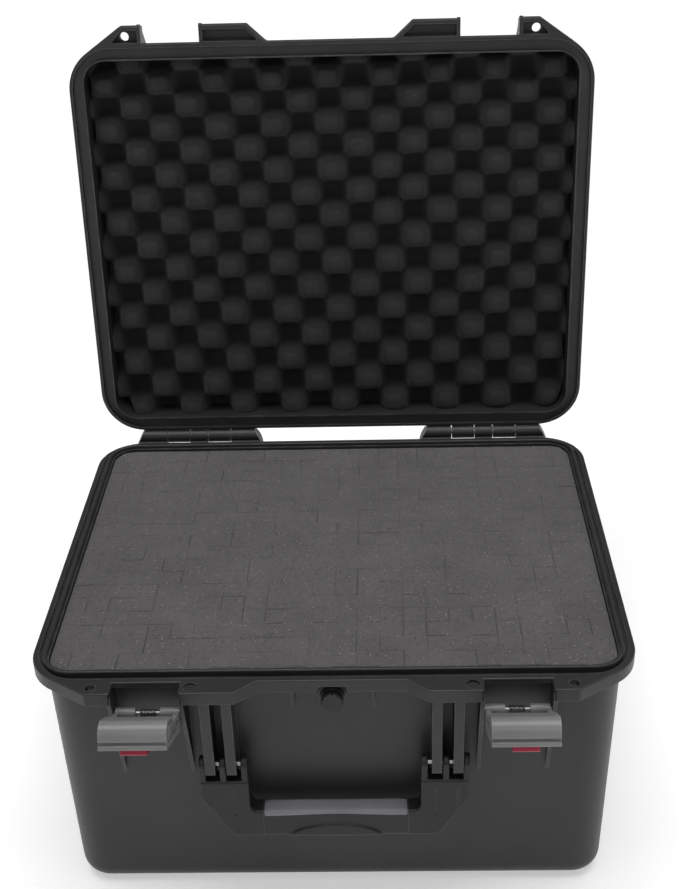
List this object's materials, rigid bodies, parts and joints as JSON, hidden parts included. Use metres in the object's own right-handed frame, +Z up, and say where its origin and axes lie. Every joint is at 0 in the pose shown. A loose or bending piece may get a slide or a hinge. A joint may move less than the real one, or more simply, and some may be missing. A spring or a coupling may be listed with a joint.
{
  "type": "hard equipment case",
  "caption": "Deep hard equipment case with a hinged lid, draw latches, a folding handle and foam inside, standing open.",
  "frame": {"origin": "middle of the flat underside of the base, on the surface the case stands on", "axes": "+Z up, -Y towards the front with the latches and the handle, +X to the right of someone who faces the front"},
  "size_m": [0.465, 0.5247, 0.6197],
  "materials": {
    "case_plastic": "satin",
    "cubed_foam": "matte",
    "egg_crate_foam": "matte",
    "grip_rubber": "satin",
    "handle_plastic": "satin",
    "latch_plastic": "satin",
    "pin_steel": "satin",
    "seal_rubber": "matte",
    "spring_steel": "satin",
    "trigger_plastic": "satin",
    "valve_membrane": "matte",
    "valve_plastic": "satin"
  },
  "bodies": {
    "base": {"base_shell": "case_plastic", "base_foam_block": "cubed_foam", "base_foam_floor_pad": "cubed_foam", "purge_valve_body": "valve_plastic", "purge_valve_oring": "seal_rubber", "purge_valve_membrane": "valve_membrane", "purge_valve_nut": "valve_plastic", "hinge_pin_right": "pin_steel", "handle_pin_right": "pin_steel", "latch_pin_right": "pin_steel", "latch_spring_right": "spring_steel", "hinge_pin_left": "pin_steel", "handle_pin_left": "pin_steel", "latch_pin_left": "pin_steel", "latch_spring_left": "spring_steel"},
    "lid": {"lid_shell": "case_plastic", "lid_gasket": "seal_rubber", "lid_foam": "egg_crate_foam"},
    "handle": {"handle_frame": "handle_plastic", "handle_grip": "grip_rubber"},
    "purge_knob": {"purge_valve_knob": "valve_plastic"},
    "latch_right": {"latch_body_right": "latch_plastic", "trigger_pin_right": "pin_steel", "trigger_spring_right": "spring_steel"},
    "trigger_right": {"latch_trigger_right": "trigger_plastic"},
    "latch_left": {"latch_body_left": "latch_plastic", "trigger_pin_left": "pin_steel", "trigger_spring_left": "spring_steel"},
    "trigger_left": {"latch_trigger_left": "trigger_plastic"}
  },
  "joints": [
    {"name": "lid_hinge", "type": "hinge", "parent": "base", "child": "lid", "pos_m": [0, 0.1916, 0.229], "axis": [1, 0, 0], "range_deg": [0, 95.2]},
    {"name": "handle_pivot", "type": "hinge", "parent": "base", "child": "handle", "pos_m": [0, -0.18927, 0.15], "axis": [-1, 0, 0], "range_deg": [0, 90]},
    {"name": "purge_valve_turn", "type": "hinge", "parent": "base", "child": "purge_knob", "pos_m": [0, -0.1798, 0.2055], "axis": [0, -1, 0], "range_deg": [0, 270]},
    {"name": "latch_swing_right", "type": "hinge", "parent": "base", "child": "latch_right", "pos_m": [0.1395, -0.1867, 0.199], "axis": [-1, 0, 0], "range_deg": [0, 61.2]},
    {"name": "trigger_press_right", "type": "hinge", "parent": "latch_right", "child": "trigger_right", "pos_m": [0.1395, -0.23495, 0.21605], "axis": [-1, 0, 0], "range_deg": [0, 5], "stiffness_Nm_per_rad": 0.05},
    {"name": "latch_swing_left", "type": "hinge", "parent": "base", "child": "latch_left", "pos_m": [-0.1395, -0.1867, 0.199], "axis": [-1, 0, 0], "range_deg": [0, 61.2]},
    {"name": "trigger_press_left", "type": "hinge", "parent": "latch_left", "child": "trigger_left", "pos_m": [-0.1395, -0.23495, 0.21605], "axis": [-1, 0, 0], "range_deg": [0, 5], "stiffness_Nm_per_rad": 0.05}
  ]
}
